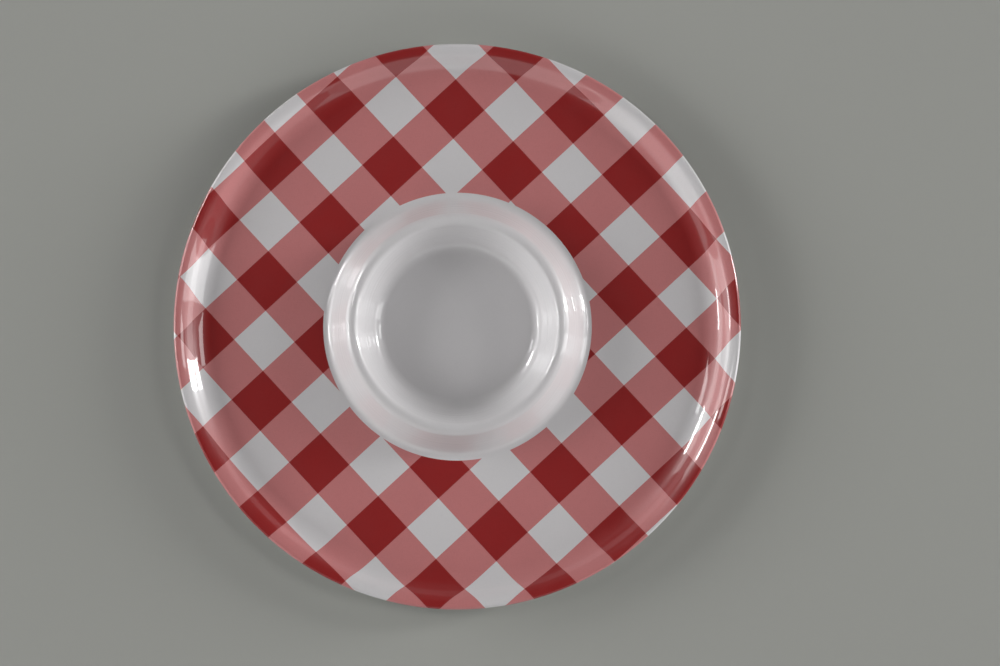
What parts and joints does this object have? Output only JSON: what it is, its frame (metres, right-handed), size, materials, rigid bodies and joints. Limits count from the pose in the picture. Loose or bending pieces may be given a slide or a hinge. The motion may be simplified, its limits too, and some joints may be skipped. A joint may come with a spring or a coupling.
{
  "type": "chip and dip server",
  "caption": "Round moulded plate with a raised dip bowl in its middle, a gingham print on the chip ring around it, a low upturned rim and a foot ring.",
  "frame": {"origin": "centre of the foot ring's flat underside, on the table", "axes": "+Z is the plate's turning axis, up out of the dip bowl. +X and +Y lie in the table, with the rows of checks turned 42.7 degrees from +X towards +Y"},
  "size_m": [0.356, 0.356, 0.0282],
  "materials": {
    "white_melamine": "glossy moulded white melamine",
    "foil_white": "unprinted white of the decor foil, under clear glaze",
    "pink_ink": "pink ink of the decor foil, under clear glaze",
    "red_ink": "dark red ink of the decor foil, under clear glaze"
  },
  "bodies": {
    "root": {"melamine_body": "white_melamine", "decor_foil": "foil_white", "pink_checks": "pink_ink", "red_checks": "red_ink"}
  },
  "joints": []
}
